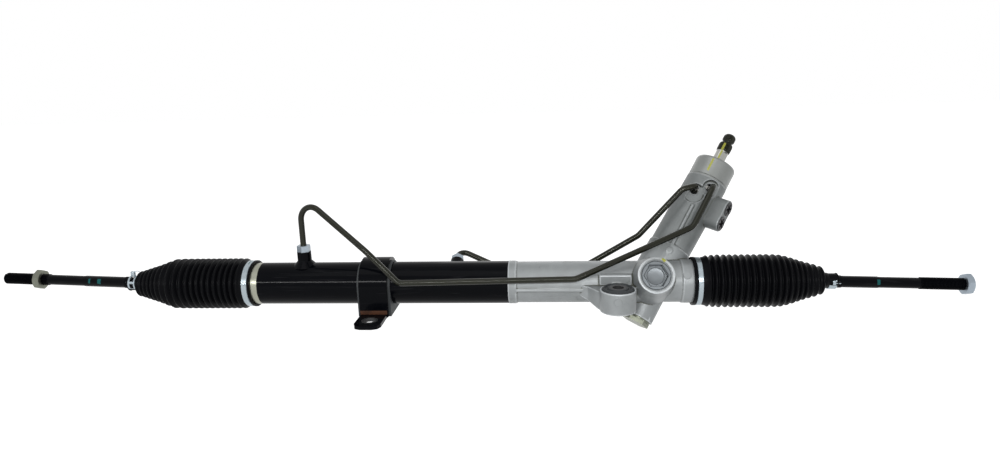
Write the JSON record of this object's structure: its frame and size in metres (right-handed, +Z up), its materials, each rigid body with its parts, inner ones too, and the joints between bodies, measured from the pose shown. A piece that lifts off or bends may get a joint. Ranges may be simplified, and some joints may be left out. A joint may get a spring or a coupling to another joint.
{
  "type": "power steering rack",
  "caption": "Hydraulic rack and pinion steering gear with valve tower, bellows boots, tie rods, oil pipes and clamp bracket.",
  "frame": {"origin": "on the mount bush's bolt axis, at the lower seat of its steel sleeve", "axes": "+X along the rack towards the pinion end, +Y from the side with the yoke plug through the rack to the back, +Z up, out of the mounting plane"},
  "size_m": [1.1529, 0.1695, 0.219],
  "materials": {
    "black_paint": "glossy black enamel on steel",
    "cast_aluminium": "matte die casting",
    "zinc_steel": "zinc plated",
    "bare_steel": "ground steel",
    "rubber": "matte rubber",
    "olive_plating": "dark olive plating on steel",
    "black_plastic": "matte plastic",
    "white_plastic": "acetal"
  },
  "bodies": {
    "housing": {"cylinder_tube": "black_paint", "pipe_nuts": "olive_plating", "pinion_housing": "cast_aluminium", "mount_bush_rubber": "rubber", "mount_bush_sleeve": "zinc_steel", "yoke": "cast_aluminium", "yoke_seal_ring": "rubber", "yoke_spring": "bare_steel", "yoke_plug": "zinc_steel", "lower_bearing": "bare_steel", "middle_bearing": "bare_steel", "lower_plug": "zinc_steel", "valve_cap": "cast_aluminium", "valve_bearing": "bare_steel", "shaft_seal": "rubber", "dust_seal": "rubber", "hose_port_plugs": "black_plastic", "rack_bush": "cast_aluminium", "rack_seals": "rubber", "seal_stop_ring": "bare_steel", "left_boot": "rubber", "left_large_clamp": "zinc_steel", "right_boot": "rubber", "right_large_clamp": "zinc_steel", "clamp_bracket": "black_paint", "bracket_sleeves": "zinc_steel", "bracket_rubber": "rubber", "pipe_front": "olive_plating", "pipe_rear": "olive_plating"},
    "rack": {"rack_bar": "bare_steel", "piston": "bare_steel", "piston_ring": "black_plastic", "left_lock_washer": "zinc_steel", "left_ball_socket": "bare_steel", "right_lock_washer": "zinc_steel", "right_ball_socket": "bare_steel"},
    "pinion": {"pinion": "bare_steel", "pinion_lock_nut": "bare_steel", "valve_sleeve": "bare_steel", "sleeve_rings": "black_plastic"},
    "input_shaft": {"input_shaft": "bare_steel", "torsion_bar": "bare_steel", "torsion_pin": "bare_steel"},
    "left_ball": {"left_ball_seat": "white_plastic"},
    "left_swing": {"left_small_clamp": "zinc_steel"},
    "left_tie_rod": {"left_tie_rod": "black_paint", "left_jam_nut": "zinc_steel"},
    "right_ball": {"right_ball_seat": "white_plastic"},
    "right_swing": {"right_small_clamp": "zinc_steel"},
    "right_tie_rod": {"right_tie_rod": "black_paint", "right_jam_nut": "zinc_steel"}
  },
  "joints": [
    {"name": "rack_slide", "type": "slide", "parent": "housing", "child": "rack", "axis": [1, 0, 0], "range_m": [-0.068, 0.076], "deforming": ["left_boot", "right_boot"]},
    {"name": "pinion_turn", "type": "hinge", "parent": "housing", "child": "pinion", "pos_m": [0.0484, 0.06364, 0.01271], "axis": [0.4833, 0.37, 0.7934], "range_deg": [-545, 608]},
    {"name": "valve_twist", "type": "hinge", "parent": "pinion", "child": "input_shaft", "pos_m": [0.0484, 0.06364, 0.01271], "axis": [0.4833, 0.37, 0.7934], "range_deg": [-5, 5], "stiffness_Nm_per_rad": 80},
    {"name": "left_ball_yaw", "type": "hinge", "parent": "rack", "child": "left_ball", "pos_m": [-0.5505, 0.048, 0.02], "axis": [0, 0, 1], "range_deg": [-18, 18], "deforming": ["left_boot"]},
    {"name": "left_ball_pitch", "type": "hinge", "parent": "left_ball", "child": "left_swing", "pos_m": [-0.5505, 0.048, 0.02], "axis": [0, 1, 0], "range_deg": [-18, 18], "deforming": ["left_boot"]},
    {"name": "left_rod_spin", "type": "hinge", "parent": "left_swing", "child": "left_tie_rod", "pos_m": [-0.5505, 0.048, 0.02], "axis": [-0.999, -0.0087, 0.0436], "continuous": true},
    {"name": "right_ball_yaw", "type": "hinge", "parent": "rack", "child": "right_ball", "pos_m": [0.199, 0.048, 0.02], "axis": [0, 0, 1], "range_deg": [-18, 18], "deforming": ["right_boot"]},
    {"name": "right_ball_pitch", "type": "hinge", "parent": "right_ball", "child": "right_swing", "pos_m": [0.199, 0.048, 0.02], "axis": [0, 1, 0], "range_deg": [-18, 18], "deforming": ["right_boot"]},
    {"name": "right_rod_spin", "type": "hinge", "parent": "right_swing", "child": "right_tie_rod", "pos_m": [0.199, 0.048, 0.02], "axis": [0.9987, 0.0349, -0.0384], "continuous": true}
  ],
  "couplings": [
    {"joint": "pinion_turn", "follows": "rack_slide", "rad_per_m": 138.89}
  ]
}
